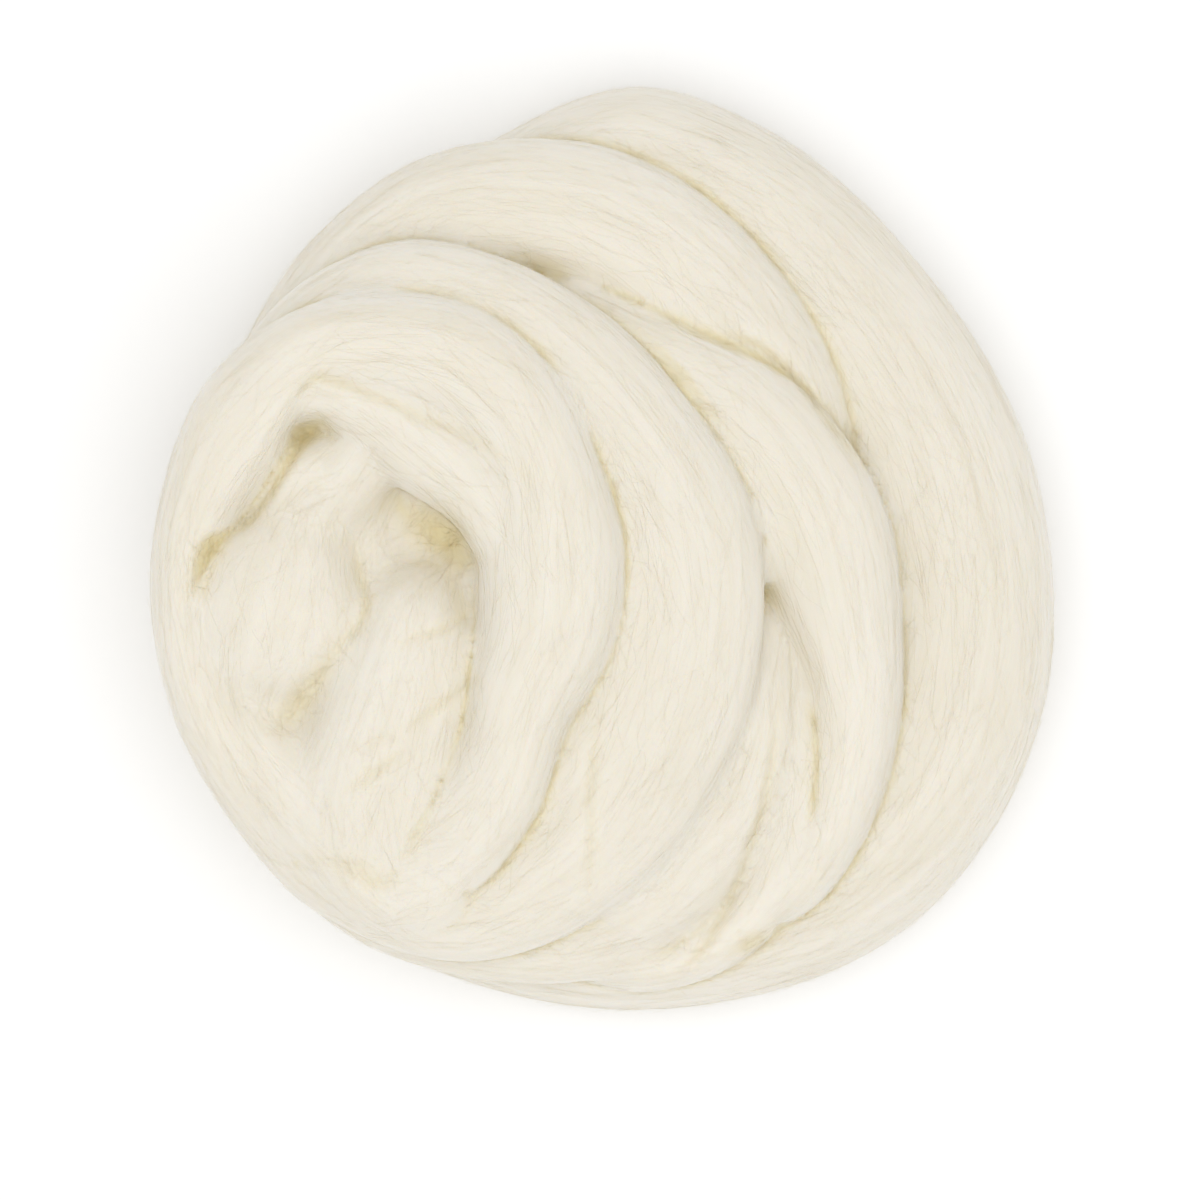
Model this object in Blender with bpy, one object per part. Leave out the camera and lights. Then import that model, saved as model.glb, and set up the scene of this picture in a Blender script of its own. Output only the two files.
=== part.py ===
"""A bundle of wool roving: one long, untwisted sliver of combed wool, wound by hand into a loose coil.

Five turns run outwards from a tucked knot. The inner four lie stacked on the left, and all five fan
out to the right, where the inner three step down and the outer two lie lower still. The whole bundle
is one closed solid that rests on its flattened underside. Sizes and tables are in millimetres, the
meshes in metres, with +Z up and the origin under the middle of the bundle.
"""

import math
from collections import namedtuple

import bmesh
import bpy
import numpy as np
from mathutils import Vector

MM = 0.001
TURN_DEGREES = 360
FIRST_BEARING = -90  # where one turn passes into the next, on the near side of the bundle

STATION_STEP = 6  # degrees between the sections of a turn
SECTION_SIDES = 16
SECTION_POWER = 2.15  # 2 is an ellipse, more is squarer

WELD = 0.005  # corners nearer than this are one

COIL_POLE = (-57.2, -11.2)  # the line the turns wind round
UNDER_POLE = (-14.4, -1.4)  # the same for the layer under the coil
CORE_STEP = 15  # degrees between the sides of the core
CORE_TOP = 46
CORE_BASE = 3

FOLD_STEPS = 4  # sections for each row of a fold's table
FOLD_TIP = 0.3  # how far into its rounding, in rows, a fold's end is cut blunt

GROUND_REACH = 300  # the block that the bundle is pressed on reaches this far each way
GROUND_DEPTH = 40

WOOL_COLOUR = (0.82, 0.77, 0.64, 1)
WOOL_ROUGHNESS = 0.95

# One section of the roving: its bearing from the pole in degrees, the distance of its outer edge
# from the pole, its width, the height of its top and how deep it is.
Station = namedtuple("Station", "bearing edge width crest depth")

TURNS = (
    (
        Station(-108, 50.0, 12, 52, 16),
        Station(-90, 65.0, 23, 58, 26),
        Station(-70, 70.5, 27, 64, 26),
        Station(-50, 64.0, 25, 72, 28),
        Station(-30, 56.3, 24, 76, 30),
        Station(-10, 59.6, 29, 78, 30),
        Station(10, 62.3, 32, 79, 30),
        Station(30, 63.8, 27, 79, 30),
        Station(50, 68.4, 27, 78, 28),
        Station(65, 69.5, 26, 77, 28),
        Station(80, 67.0, 23, 76, 26),
        Station(95, 64.0, 21, 75, 26),
        Station(115, 57.5, 26, 72, 26),
        Station(145, 46.0, 19, 68, 26),
        Station(180, 41.0, 17, 64, 24),
        Station(215, 43.5, 17, 61, 24),
        Station(245, 53.0, 20, 58, 24),
    ),
    (
        Station(-90, 70.3, 24, 54, 24),
        Station(-70, 83.5, 30, 56, 24),
        Station(-50, 88.5, 36, 61, 26),
        Station(-30, 90.0, 40, 65, 28),
        Station(-10, 91.5, 40, 67, 28),
        Station(10, 91.1, 38, 68, 28),
        Station(30, 86.0, 34, 68, 28),
        Station(50, 83.5, 32, 67, 28),
        Station(65, 82.0, 30, 66, 26),
        Station(80, 79.2, 28, 63, 24),
        Station(95, 71.0, 26, 58, 22),
        Station(115, 56.6, 24, 53, 20),
        Station(145, 43.5, 24, 50, 20),
        Station(180, 39.6, 24, 47, 20),
        Station(215, 42.4, 25, 44, 20),
        Station(245, 51.4, 26, 42, 20),
    ),
    (
        Station(-90, 72.5, 28, 40, 20),
        Station(-70, 88.0, 34, 41, 20),
        Station(-58, 98.0, 36, 43, 22),
        Station(-44, 106.0, 38, 45, 24),
        Station(-30, 104.0, 34, 47, 26),
        Station(-17, 98.5, 28, 46, 26),
        Station(-6, 97.5, 26, 41, 24),
        Station(4, 103.0, 30, 46, 26),
        Station(16, 111.0, 36, 52, 26),
        Station(30, 105.5, 36, 54, 28),
        Station(50, 87.0, 32, 50, 26),
        Station(65, 77.0, 30, 44, 22),
        Station(95, 67.5, 28, 39, 20),
        Station(145, 42.6, 26, 34, 18),
        Station(180, 39.2, 26, 32, 18),
        Station(245, 50.4, 26, 28, 18),
    ),
    (
        Station(-90, 70.0, 28, 26, 18),
        Station(-50, 100.0, 36, 26, 24),
        Station(-10, 117.7, 40, 32, 28),
        Station(10, 117.0, 38, 38, 28),
        Station(22, 119.9, 34, 44, 28),
        Station(35, 119.3, 30, 48, 28),
        Station(50, 117.5, 28, 50, 30),
        Station(65, 110.2, 25, 50, 30),
        Station(78, 99.0, 22, 47, 30),
        Station(95, 77.5, 24, 41, 28),
        Station(115, 55.5, 26, 32, 25),
        Station(145, 43.8, 28, 24, 24),
        Station(180, 39.8, 26, 21, 25),
        Station(215, 42.0, 26, 20, 24),
        Station(245, 51.0, 26, 19, 22),
    ),
    (
        Station(-90, 70.5, 28, 20, 22),
        Station(-70, 89.5, 32, 24, 28),
        Station(-50, 115.6, 38, 31, 36),
        Station(-30, 142.5, 42, 36, 40),
        Station(-10, 155.0, 44, 38, 42),
        Station(10, 153.5, 44, 39, 42),
        Station(30, 145.5, 42, 39, 42),
        Station(50, 137.0, 40, 38, 42),
        Station(60, 129.0, 40, 36, 40),
        Station(72, 105.0, 38, 30, 34),
        Station(85, 80.0, 34, 22, 26),
        Station(105, 55.0, 26, 14, 16),
        Station(130, 40.0, 14, 9, 8),
    ),
)

# Where a turn draws apart, part of its width runs on beside it as a strand of its own.
SIDE_STRANDS = {
    "inside_first_turn": (
        Station(-12, 44, 8, 66, 14),
        Station(5, 44, 12, 72, 18),
        Station(20, 46.5, 16, 75, 22),
        Station(33, 48, 18.5, 76, 24),
        Station(50, 45.5, 18, 75, 24),
        Station(65, 43.5, 16, 74, 24),
        Station(80, 45, 14, 73, 22),
        Station(97, 47, 10, 71, 20),
        Station(112, 43, 7, 62, 14),
    ),
    "outside_third_turn": (
        Station(-40, 117, 8, 39, 12),
        Station(-33, 122, 12, 45, 18),
        Station(-22, 124.5, 17, 50, 24),
        Station(-10, 123.2, 22, 53, 26),
        Station(-2, 121.5, 28, 54, 26),
        Station(10, 118.8, 32, 55, 26),
        Station(24, 110, 32, 55, 26),
        Station(42, 91, 22, 50, 20),
    ),
    "between_third_turn": (
        Station(-60, 95, 8, 30, 14),
        Station(-52, 108, 11, 37, 18),
        Station(-42, 117, 13, 42, 22),
        Station(-32, 119, 15, 46, 24),
        Station(-20, 114, 15, 48, 24),
        Station(-12, 108, 13, 46, 20),
        Station(-4, 103, 9, 37, 12),
    ),
}

# The layer the coil stands on, wound the same way; only its pressed underside shows.
UNDER_TURNS = (
    (
        Station(-90, 20, 18, 14, 16),
        Station(0, 26, 24, 15, 18),
        Station(90, 32, 28, 16, 19),
        Station(180, 36, 29, 16, 19),
        Station(240, 40, 30, 16, 19),
    ),
    (
        Station(-90, 44, 30, 16, 19),
        Station(-30, 52, 32, 17, 20),
        Station(30, 57, 32, 17, 20),
        Station(90, 60, 31, 17, 20),
        Station(150, 62, 30, 16, 19),
        Station(210, 66, 30, 15, 18),
        Station(250, 70, 30, 14, 17),
    ),
)

# One section of a strand in the knot: its place from the coil's pole, its width, the height of
# its top and how deep it is.
Tuck = namedtuple("Tuck", "x y width crest depth")

KNOT = {
    "left_fold": (
        Tuck(-19, -25, 18, 57, 20),
        Tuck(-17, -15, 28, 63, 26),
        Tuck(-13, -2, 36, 67, 28),
        Tuck(-10, 10, 29, 66, 26),
        Tuck(-8, 22, 18, 61, 22),
    ),
    "bridge": (
        Tuck(-17, 18, 12, 60, 16),
        Tuck(-7, 26, 18, 65, 20),
        Tuck(3, 26, 18, 64, 20),
        Tuck(10, 18, 12, 56, 16),
    ),
    "right_fold": (
        Tuck(24, 8, 15, 59, 18),
        Tuck(18.5, -3, 26, 67, 24),
        Tuck(16, -15, 31, 70, 26),
        Tuck(12, -28, 33, 69, 26),
        Tuck(8, -42, 35, 67, 26),
        Tuck(9, -56, 30, 63, 24),
        Tuck(18, -69, 20, 57, 20),
    ),
    "lower_fold": (
        Tuck(-23, -20, 12, 56, 18),
        Tuck(-17, -32, 18, 60, 22),
        Tuck(-7, -44, 21, 62, 24),
        Tuck(5, -55, 20, 61, 24),
        Tuck(17, -64, 16, 57, 22),
    ),
}


def wool():
    material = bpy.data.materials.new("wool")
    material.use_nodes = True
    surface = material.node_tree.nodes["Principled BSDF"]
    surface.inputs["Base Color"].default_value = WOOL_COLOUR
    surface.inputs["Roughness"].default_value = WOOL_ROUGHNESS
    surface.inputs["Metallic"].default_value = 0
    return material


def blend(knots, values, at):
    """A smooth curve through the rows of values, one row at each knot, read at the places in at."""
    slopes = np.gradient(values, knots, axis=0)
    left = np.clip(np.searchsorted(knots, at) - 1, 0, len(knots) - 2)
    span = (knots[left + 1] - knots[left])[:, None]
    t = (at - knots[left])[:, None] / span
    return (
        values[left] * (1 + 2 * t) * (1 - t) ** 2
        + values[left + 1] * (3 - 2 * t) * t**2
        + slopes[left] * span * t * (1 - t) ** 2
        - slopes[left + 1] * span * (1 - t) * t**2
    )


def winding(turns):
    """(bearings, rows) of a whole winding, its bearings counted on from turn to turn."""
    bearings, rows = [], []
    for number, turn in enumerate(turns):
        for station in turn:
            bearings.append(station.bearing + TURN_DEGREES * number)
            rows.append(station[1:])
    return np.array(bearings, float), np.array(rows, float)


def section(across, up, width, depth):
    """The points of one section: a squarish oval centred on (across, up)."""
    angles = np.arange(SECTION_SIDES) * math.tau / SECTION_SIDES
    cosine, sine = np.cos(angles), np.sin(angles)
    power = 2 / SECTION_POWER
    return (
        across + width / 2 * np.sign(cosine) * np.abs(cosine) ** power,
        up + depth / 2 * np.sign(sine) * np.abs(sine) ** power,
    )


def piece(name, skin):
    """An object with the skin given as a bmesh, its faces made triangles that face outwards."""
    bmesh.ops.recalc_face_normals(skin, faces=skin.faces)
    bmesh.ops.triangulate(skin, faces=skin.faces)
    mesh = bpy.data.meshes.new(name)
    skin.to_mesh(mesh)
    skin.free()
    made = bpy.data.objects.new(name, mesh)
    bpy.context.scene.collection.objects.link(made)
    return made


def add_skin(skin, points, faces):
    """Adds faces, each a list of numbers of points, to the skin."""
    verts = [skin.verts.new(Vector(point) * MM) for point in points]
    for face in faces:
        skin.faces.new([verts[corner] for corner in face])


def add_loft(skin, rings):
    """Adds a closed tube through the rings of points, with its ends capped."""
    sides = len(rings[0])
    faces = [range(sides), range(len(rings) * sides - 1, len(rings) * sides - sides - 1, -1)]
    for ring in range(len(rings) - 1):
        for side in range(sides):
            after = (side + 1) % sides
            low, high = ring * sides, (ring + 1) * sides
            faces.append((low + after, low + side, high + side, high + after))
    add_skin(skin, np.concatenate(rings), faces)


def around(pole, bearing, across, up):
    """Points that lie across from the pole on a bearing, each at its height."""
    angle = math.radians(bearing)
    return np.column_stack(
        (pole[0] + across * math.cos(angle), pole[1] + across * math.sin(angle), up)
    )


def add_coil(skin, pole, turns):
    """Adds a winding as one tube, which passes through itself where its turns press together."""
    bearings, rows = winding(turns)
    at = np.linspace(bearings[0], bearings[-1], round(np.ptp(bearings) / STATION_STEP) + 1)
    rings = []
    for bearing, (edge, width, crest, depth) in zip(at, blend(bearings, rows, at)):
        across, up = section(edge - width / 2, crest - depth / 2, width, depth)
        rings.append(around(pole, bearing, across, up))
    add_loft(skin, rings)


def add_core(skin):
    """Adds the wool under the turns, out to the middle of each, so that no pocket is sealed in."""
    bearings, rows = winding(TURNS)
    count = round(TURN_DEGREES / CORE_STEP)
    rings = []
    for bearing in FIRST_BEARING + CORE_STEP * np.arange(count):
        at = np.minimum(bearing + TURN_DEGREES * np.arange(len(TURNS)), bearings[-1])
        edge, width, crest, depth = blend(bearings, rows, at).T
        middle = edge - width / 2
        across = np.append(middle, max(middle))
        up = np.append(crest - depth / 2, CORE_BASE)
        rings.append(around(COIL_POLE, bearing, across, up))
    sides = len(rings[0])
    top, base = count * sides, count * sides + 1
    faces = []
    for ring in range(count):
        low, high = ring * sides, (ring + 1) % count * sides
        faces.append((top, low, high))
        faces.append((base, high + sides - 1, low + sides - 1))
        for side in range(sides - 1):
            faces.append((low + side, low + side + 1, high + side + 1, high + side))
    ends = [(*COIL_POLE, CORE_TOP), (*COIL_POLE, CORE_BASE)]
    add_skin(skin, np.concatenate(rings + [ends]), faces)


def add_fold(skin, tucks):
    """Adds a short strand of the knot, drawn in at both ends to a blunt tip."""
    rows = np.array(tucks, float)
    knots = np.arange(len(rows), dtype=float)
    at = np.linspace(0, knots[-1], FOLD_STEPS * (len(rows) - 1) + 1)
    path = blend(knots, rows, at)
    along = np.gradient(path[:, :2], axis=0)
    along /= np.linalg.norm(along, axis=1, keepdims=True)
    rings = []
    for place, (x, y, width, crest, depth), (east, north) in zip(at, path, along):
        tip = min(1.0, min(place, knots[-1] - place) + FOLD_TIP)
        scale = math.sqrt(1 - (1 - tip) ** 2)
        across, up = section(0, crest - depth / 2, scale * width, scale * depth)
        rings.append(
            np.column_stack(
                (COIL_POLE[0] + x + across * north, COIL_POLE[1] + y - across * east, up)
            )
        )
    add_loft(skin, rings)


def add_block(skin, reach, deep):
    """Adds the block the bundle rests on, its top at the level of the ground."""
    points = [(x, y, z) for x in (-reach, reach) for y in (-reach, reach) for z in (-deep, 0)]
    faces = [(0, 1, 3, 2), (4, 6, 7, 5), (0, 4, 5, 1), (2, 3, 7, 6), (0, 2, 6, 4), (1, 5, 7, 3)]
    add_skin(skin, points, faces)


def tidy(mesh):
    """Welds the slivers the cut leaves and fills the pockets sealed in between the strands."""
    skin = bmesh.new()
    skin.from_mesh(mesh)
    bmesh.ops.remove_doubles(skin, verts=skin.verts, dist=WELD * MM)
    bmesh.ops.dissolve_degenerate(skin, edges=skin.edges, dist=WELD * MM)
    outside = {max(skin.verts, key=lambda vert: vert.co.z)}
    fresh = list(outside)
    while fresh:
        vert = fresh.pop()
        for edge in vert.link_edges:
            other = edge.other_vert(vert)
            if other not in outside:
                outside.add(other)
                fresh.append(other)
    pockets = [vert for vert in skin.verts if vert not in outside]
    bmesh.ops.delete(skin, geom=pockets, context="VERTS")
    bmesh.ops.triangulate(skin, faces=skin.faces)
    skin.to_mesh(mesh)
    skin.free()


def main():
    for old in list(bpy.data.objects):
        bpy.data.objects.remove(old)

    skin = bmesh.new()
    add_core(skin)
    add_coil(skin, COIL_POLE, TURNS)
    for stations in SIDE_STRANDS.values():
        add_coil(skin, COIL_POLE, (stations,))
    for tucks in KNOT.values():
        add_fold(skin, tucks)
    add_coil(skin, UNDER_POLE, UNDER_TURNS)
    roving = piece("roving", skin)

    skin = bmesh.new()
    add_block(skin, GROUND_REACH, GROUND_DEPTH)
    block = piece("block", skin)
    block.hide_render = True
    block.display_type = "WIRE"

    # One exact cut makes a single solid of the overlapping strands and flattens its underside.
    change = roving.modifiers.new("press", "BOOLEAN")
    change.operation = "DIFFERENCE"
    change.solver = "EXACT"
    change.use_self = True
    change.object = block
    pressed = roving.evaluated_get(bpy.context.evaluated_depsgraph_get())
    roving.data = bpy.data.meshes.new_from_object(pressed)
    roving.modifiers.clear()
    tidy(roving.data)
    bpy.data.objects.remove(block)
    roving.data.materials.append(wool())


main()
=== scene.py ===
import math
from functools import partial

import bmesh
import bpy
import numpy as np
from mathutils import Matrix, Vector
from mathutils.bvhtree import BVHTree


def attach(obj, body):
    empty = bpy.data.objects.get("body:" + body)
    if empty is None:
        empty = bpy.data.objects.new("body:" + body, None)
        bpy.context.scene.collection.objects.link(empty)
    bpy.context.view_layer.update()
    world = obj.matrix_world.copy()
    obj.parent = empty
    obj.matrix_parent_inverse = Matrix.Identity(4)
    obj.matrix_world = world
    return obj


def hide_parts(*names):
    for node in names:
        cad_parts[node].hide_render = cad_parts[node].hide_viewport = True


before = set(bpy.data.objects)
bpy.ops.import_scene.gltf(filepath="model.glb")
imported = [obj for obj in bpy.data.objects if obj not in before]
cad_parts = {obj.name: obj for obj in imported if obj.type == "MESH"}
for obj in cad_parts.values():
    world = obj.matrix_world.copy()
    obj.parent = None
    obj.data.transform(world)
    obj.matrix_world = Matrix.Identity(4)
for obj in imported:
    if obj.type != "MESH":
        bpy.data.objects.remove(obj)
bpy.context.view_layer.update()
print("frame loaded")

mm = 0.001
fullTurn = 360
coilPole = (-57.2, -11.2)  # the line the turns wind round, as in the part
underPole = (-14.4, -1.4)  # and the one for the layer under the coil
lineSteps = 4000  # places at which a strand's middle line is measured
furrowSteps = 12  # places of a furrow for each row of its table
seedStep = 5  # keeps the noise of one strand apart from the next one's

# each row of a winding: bearing in degrees, outer edge from the pole, width, crest height, depth (mm)
turns = [
    [(-108, 50, 12, 52, 16), (-90, 65, 23, 58, 26), (-70, 70.5, 27, 64, 26),
     (-50, 64, 25, 72, 28), (-30, 56.3, 24, 76, 30), (-10, 59.6, 29, 78, 30),
     (10, 62.3, 32, 79, 30), (30, 63.8, 27, 79, 30), (50, 68.4, 27, 78, 28),
     (65, 69.5, 26, 77, 28), (80, 67, 23, 76, 26), (95, 64, 21, 75, 26),
     (115, 57.5, 26, 72, 26), (145, 46, 19, 68, 26), (180, 41, 17, 64, 24),
     (215, 43.5, 17, 61, 24), (245, 53, 20, 58, 24)],
    [(-90, 70.3, 24, 54, 24), (-70, 83.5, 30, 56, 24), (-50, 88.5, 36, 61, 26),
     (-30, 90, 40, 65, 28), (-10, 91.5, 40, 67, 28), (10, 91.1, 38, 68, 28),
     (30, 86, 34, 68, 28), (50, 83.5, 32, 67, 28), (65, 82, 30, 66, 26),
     (80, 79.2, 28, 63, 24), (95, 71, 26, 58, 22), (115, 56.6, 24, 53, 20),
     (145, 43.5, 24, 50, 20), (180, 39.6, 24, 47, 20), (215, 42.4, 25, 44, 20),
     (245, 51.4, 26, 42, 20)],
    [(-90, 72.5, 28, 40, 20), (-70, 88, 34, 41, 20), (-58, 98, 36, 43, 22),
     (-44, 106, 38, 45, 24), (-30, 104, 34, 47, 26), (-17, 98.5, 28, 46, 26),
     (-6, 97.5, 26, 41, 24), (4, 103, 30, 46, 26), (16, 111, 36, 52, 26),
     (30, 105.5, 36, 54, 28), (50, 87, 32, 50, 26), (65, 77, 30, 44, 22),
     (95, 67.5, 28, 39, 20), (145, 42.6, 26, 34, 18), (180, 39.2, 26, 32, 18),
     (245, 50.4, 26, 28, 18)],
    [(-90, 70, 28, 26, 18), (-50, 100, 36, 26, 24), (-10, 117.7, 40, 32, 28),
     (10, 117, 38, 38, 28), (22, 119.9, 34, 44, 28), (35, 119.3, 33, 48, 28),
     (50, 117.5, 34, 50, 30), (65, 110.2, 33, 50, 30), (78, 99, 29, 47, 30),
     (95, 77.5, 25, 41, 28), (115, 55.5, 26, 32, 25), (145, 43.8, 28, 24, 24),
     (180, 39.8, 26, 21, 25), (215, 42, 26, 20, 24), (245, 51, 26, 19, 22)],
    [(-90, 70.5, 28, 20, 22), (-70, 89.5, 32, 24, 28), (-50, 115.6, 38, 31, 36),
     (-30, 142.5, 42, 36, 40), (-10, 155, 44, 38, 42), (10, 153.5, 44, 39, 42),
     (30, 145.5, 42, 39, 42), (50, 137, 40, 38, 42), (60, 129, 40, 36, 40),
     (72, 105, 38, 30, 34), (85, 80, 34, 22, 26), (105, 55, 26, 14, 16),
     (130, 40, 14, 9, 8)],
]

sideStrands = {
    "insideFirstTurn": [
        (-12, 44, 8, 66, 14), (5, 44, 12, 72, 18), (20, 46.5, 16, 75, 22), (33, 48, 18.5, 76, 24),
        (50, 49, 21.5, 75, 24), (65, 50, 22.5, 75, 24), (80, 52, 21, 74, 24), (97, 51, 14, 71, 22),
        (112, 46, 10, 64, 16)],
    "troughLining": [
        (-56, 96, 16, 44, 16), (-44, 103, 22, 48, 22), (-30, 106, 26, 51, 26), (-16, 104, 24, 52, 26),
        (-6, 99.5, 17, 48, 22), (1, 98, 13, 45, 19), (7, 95, 7, 38, 13)],
    "outsideThirdTurn": [
        (-40, 117, 8, 39, 12), (-33, 122, 12, 45, 18), (-22, 124.5, 17, 50, 24),
        (-10, 123.2, 22, 53, 26), (-2, 121.5, 28, 54, 26), (10, 118.8, 32, 55, 26),
        (24, 110, 32, 55, 26), (42, 94, 26, 53, 24), (54, 86, 18, 50, 20), (64, 81, 8, 46, 14)],
    "betweenThirdTurn": [
        (-60, 95, 8, 30, 14), (-52, 108, 11, 37, 18), (-42, 117, 13, 42, 22),
        (-32, 119, 15, 46, 24), (-20, 114, 15, 48, 24), (-12, 108, 13, 46, 20),
        (-4, 103, 9, 37, 12)],
}

underTurns = [
    [(-90, 20, 18, 14, 16), (0, 26, 24, 15, 18), (90, 32, 28, 16, 19), (180, 36, 29, 16, 19),
     (240, 40, 30, 16, 19)],
    [(-90, 44, 30, 16, 19), (-30, 52, 32, 17, 20), (30, 57, 32, 17, 20), (90, 60, 31, 17, 20),
     (150, 62, 30, 16, 19), (210, 66, 30, 15, 18), (250, 70, 30, 14, 17)],
]

# each row of a fold in the knot: x and y from the coil's pole, width, crest height, depth (mm)
knotFolds = {
    "leftFold": [
        (-19, -24, 20, 56, 20), (-17, -14, 30, 64, 26), (-14, -2, 37, 68, 28),
        (-11, 9, 30, 66, 26), (-8, 20, 18, 61, 22)],
    "bridgeFold": [
        (-17, 18, 12, 60, 16), (-7, 26, 18, 65, 20), (3, 26, 18, 64, 20), (10, 18, 12, 56, 16)],
    "rightFold": [
        (24, 8, 15, 59, 18), (18.5, -3, 26, 67, 24), (16, -15, 31, 70, 26), (12, -28, 33, 69, 26),
        (8, -42, 35, 67, 26), (9, -56, 30, 63, 24), (18, -69, 20, 57, 20)],
    "heart": [
        (-9, -24, 20, 54, 24), (-2, -14, 30, 57, 26), (3, -2, 32, 57, 26), (3, 12, 28, 56, 24),
        (1, 24, 16, 54, 18)],
    "riseFold": [
        (-5, 14, 15, 61, 20), (0, 24, 20, 66, 24), (6, 32, 18, 70, 24), (11, 40, 12, 72, 18)],
    "seamBlend": [
        (27, -54, 14, 60, 20), (20, -60, 22, 63, 26), (13, -64, 20, 59, 22), (7, -66, 12, 54, 16)],
    "lowerFold": [
        (-23, -20, 12, 56, 18), (-17, -32, 18, 60, 22), (-7, -44, 21, 62, 24),
        (5, -55, 20, 61, 24), (17, -64, 16, 57, 22)],
}

# soft furrows pressed into the wool: x and y from the coil's pole, width, depth (mm)
furrows = {
    "slit": [
        (-0.7, 35.2, 1.3, 0.7), (-3.4, 37.6, 1.5, 1.5), (-6.4, 36, 1.6, 2.0), (-9.9, 30.8, 1.4, 2.0),
        (-13.6, 24.2, 1.2, 1.6), (-16.6, 20, 1.0, 1.2), (-20, 16.6, 0.9, 1.1), (-23.8, 14.2, 1.1, 1.8),
        (-27, 11.6, 1.8, 3.8), (-29.2, 7, 1.5, 2.4), (-30.4, 2, 1.2, 0.6)],
    "hollow": [(13, 20, 2.6, 0.5), (18, 17, 4, 1.6), (23, 13.5, 4.2, 2.4), (27, 9, 2.6, 1.6)],
    "knotSeam": [
        (3.1, 12.5, 1.1, 0.3), (4.6, 5.5, 1.2, 0.9), (6.2, -1, 1.2, 1.1), (4.5, -5.6, 1.4, 0.8),
        (0.4, -9.8, 1.5, 0.6), (-4.2, -16.7, 2.2, 1.1), (-8, -22, 2.6, 1.2), (-12.1, -26.6, 2.6, 0.5)],
    "fourthTurnEdge": [
        (82, 57.6, 1.0, 0.3), (86.9, 56.1, 1.1, 1.0), (91.3, 53.9, 1.1, 1.3), (97.9, 48.4, 1.1, 1.3),
        (104.5, 39.6, 1.1, 1.2), (108.9, 34.1, 1.0, 1.0), (113.3, 28.6, 1.0, 0.5)],
    "secondTurnParting": [
        (56, -26, 1.2, 0.2), (54.3, -37, 1.3, 0.5), (54, -55, 1.3, 0.5), (53.5, -64, 1.2, 0.2)],
    "wedgeParting": [
        (95, -20, 1.2, 0.2), (93.5, -30, 1.2, 0.6), (92, -40, 1.2, 0.8), (89.5, -50, 1.2, 0.8),
        (84, -65, 1.2, 0.9), (78.5, -75, 1.2, 0.8), (74, -79, 1.2, 0.2)],
    "outerTurnNick": [(85, -76, 1.5, 0.5), (89, -74, 2, 1.6), (93, -72, 1.5, 0.5)],
    "knotCreaseLow": [(3, -40.5, 1.4, 0.2), (8, -37, 1.5, 0.7), (13, -33, 1.4, 0.3)],
    "knotCreaseMid": [(3, -31, 1.4, 0.1), (9, -30, 1.7, 0.3), (15, -29.5, 1.4, 0.1)],
    "knotCreaseHigh": [(15, -27.5, 1.3, 0.2), (22, -22.5, 1.4, 0.6), (29.5, -16.5, 1.3, 0.4)],
    "knotCreaseTop": [(13, -9, 1.2, 0.2), (20, -7, 1.3, 0.6), (28, -4, 1.2, 0.4)],
    "topFoldLine": [
        (-7.7, 44, 1.2, 0.3), (-4.4, 47.3, 1.4, 0.8), (0, 46.6, 1.4, 0.9), (6.6, 44, 1.3, 0.7),
        (18.7, 38.5, 1.3, 0.6), (29.7, 34.1, 1.3, 0.5), (40.7, 26.4, 1.2, 0.2)],
    "rimCrease": [(-5, -55, 1.8, 0.2), (3.5, -57.5, 2.4, 0.6), (9, -60.5, 2.4, 0.7), (13.5, -58.5, 1.8, 0.2)],
}


def linearColour(hexText):
    # an sRGB hex colour as the linear numbers that the shader wants
    parts = [int(hexText[i : i + 2], 16) / 255 for i in (1, 3, 5)]
    return (*[c / 12.92 if c <= 0.04045 else ((c + 0.055) / 1.055) ** 2.4 for c in parts], 1)


def socketOf(sockets, name):
    # the first socket in use, or the one of this name, because some nodes keep hidden ones as well
    if isinstance(name, int):
        return sockets[name]
    return next((socket for socket in sockets if socket.enabled and name in (None, socket.name)), None)


def addNode(tree, kind, settings=None, links=None):
    # a node, its settings and values by name, and its links by name, each from a node's first output in
    # use or from (node, output name)
    node = tree.nodes.new(kind)
    for name, value in (settings or {}).items():
        socket = socketOf(node.inputs, name)
        if socket is None:
            setattr(node, name, value)
        else:
            socket.default_value = value
    for name, source in (links or {}).items():
        source, output = source if isinstance(source, tuple) else (source, None)
        tree.links.new(socketOf(source.outputs, output), socketOf(node.inputs, name))
    return node


def blend(knots, values, at):
    # smooth curve through the rows of values, one row at each knot
    slopes = np.gradient(values, knots, axis=0)
    left = np.clip(np.searchsorted(knots, at) - 1, 0, len(knots) - 2)
    span = (knots[left + 1] - knots[left])[:, None]
    t = (at - knots[left])[:, None] / span
    return (
        values[left] * (1 + 2 * t) * (1 - t) ** 2
        + values[left + 1] * (3 - 2 * t) * t**2
        + slopes[left] * span * t * (1 - t) ** 2
        - slopes[left + 1] * span * (1 - t) * t**2
    )


def runAlong(line):
    # how far each point of a line lies from its start
    return np.concatenate(([0], np.cumsum(np.linalg.norm(np.diff(line, axis=0), axis=1))))


def unit(vectors):
    return vectors / (np.linalg.norm(vectors, axis=-1, keepdims=True) + 1e-9)


def storeValues(mesh, label, values):
    # keeps a number or a vector for each point of a mesh
    kind, field = ("FLOAT", "value") if values.ndim == 1 else ("FLOAT_VECTOR", "vector")
    mesh.attributes.new(label, kind, "POINT").data.foreach_set(field, values.ravel())


def linked(name, data):
    # a new object in the scene
    piece = bpy.data.objects.new(name, data)
    bpy.context.scene.collection.objects.link(piece)
    return piece


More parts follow.
